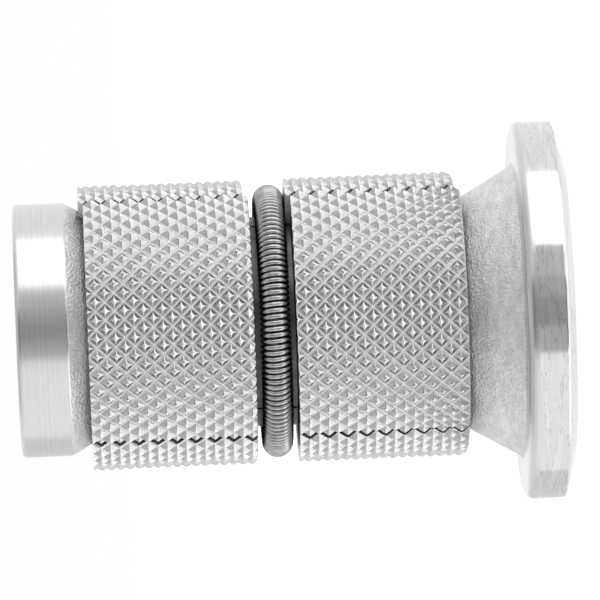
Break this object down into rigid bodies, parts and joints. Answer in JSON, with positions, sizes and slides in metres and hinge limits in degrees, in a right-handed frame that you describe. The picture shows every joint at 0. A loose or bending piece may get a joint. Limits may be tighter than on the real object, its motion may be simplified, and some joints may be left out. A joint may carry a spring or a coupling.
{
  "type": "expanding tube plug",
  "caption": "Round flanged plug whose knurled jaws are wedged apart between two cones by a central screw and pulled back by a coil spring ring.",
  "frame": {"origin": "on the plug's axis, at the flange's outer face, which it stands on", "axes": "+Z along the axis, from the flange to the nut; -Y out through the middle of the front jaw"},
  "size_m": [0.03, 0.03, 0.0435],
  "materials": {
    "turned_aluminium": "satin",
    "knurled_aluminium": "satin",
    "spring_steel": "gloss",
    "screw_steel": "satin"
  },
  "bodies": {
    "head": {"flange_head": "turned_aluminium", "thrust_washer": "screw_steel", "head_key_pin": "screw_steel"},
    "screw": {"draw_screw": "screw_steel"},
    "nut": {"cone_nut": "turned_aluminium", "nut_key_pin": "screw_steel"},
    "spring": {"garter_spring": "spring_steel"},
    "front": {"jaw_front": "knurled_aluminium"},
    "right": {"jaw_right": "knurled_aluminium"},
    "left": {"jaw_left": "knurled_aluminium"}
  },
  "joints": [
    {"name": "screw_turn", "type": "hinge", "parent": "head", "child": "screw", "pos_m": [0, 0, 0], "axis": [0, 0, 1], "range_deg": [0, 1080]},
    {"name": "nut_travel", "type": "slide", "parent": "head", "child": "nut", "axis": [0, 0, -1], "range_m": [0, 0.003]},
    {"name": "spring_travel", "type": "slide", "parent": "head", "child": "spring", "axis": [0, 0, -1], "range_m": [0, 0.0015]},
    {"name": "front_spread", "type": "slide", "parent": "spring", "child": "front", "axis": [0, -1, 0], "range_m": [0, 0.000867], "deforming": ["garter_spring"]},
    {"name": "right_spread", "type": "slide", "parent": "spring", "child": "right", "axis": [0.866, 0.5, 0], "range_m": [0, 0.000867]},
    {"name": "left_spread", "type": "slide", "parent": "spring", "child": "left", "axis": [-0.866, 0.5, 0], "range_m": [0, 0.000867]}
  ],
  "couplings": [
    {"joint": "screw_turn", "follows": "nut_travel", "rad_per_m": 6283.2},
    {"joint": "spring_travel", "follows": "nut_travel", "ratio": 0.5},
    {"joint": "front_spread", "follows": "nut_travel", "ratio": 0.28868},
    {"joint": "right_spread", "follows": "nut_travel", "ratio": 0.28868},
    {"joint": "left_spread", "follows": "nut_travel", "ratio": 0.28868}
  ]
}
